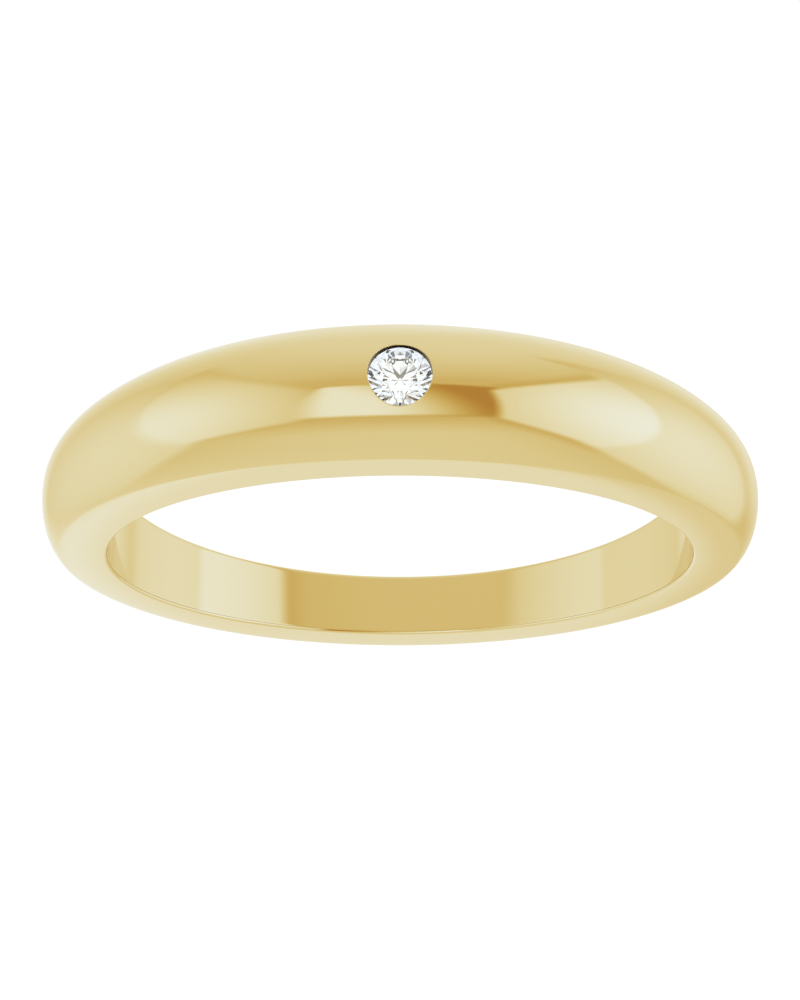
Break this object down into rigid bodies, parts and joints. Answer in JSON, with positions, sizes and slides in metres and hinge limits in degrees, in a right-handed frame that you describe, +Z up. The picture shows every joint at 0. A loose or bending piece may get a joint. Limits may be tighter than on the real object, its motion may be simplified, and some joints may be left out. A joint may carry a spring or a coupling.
{
  "type": "dome ring",
  "caption": "Polished gold dome ring, broad and high at the head and slim at the back, with a small round brilliant set flush in the head.",
  "frame": {"origin": "on the surface that the ring lies on, under the middle of its outline", "axes": "+Z up from the surface, -Y towards the head with its stone, X across the ring"},
  "size_m": [0.0212, 0.0225, 0.004],
  "materials": {
    "gold": "polished yellow gold",
    "diamond": "polished facets, clear and colourless"
  },
  "bodies": {
    "root": {"band": "gold", "stone": "diamond"}
  },
  "joints": []
}
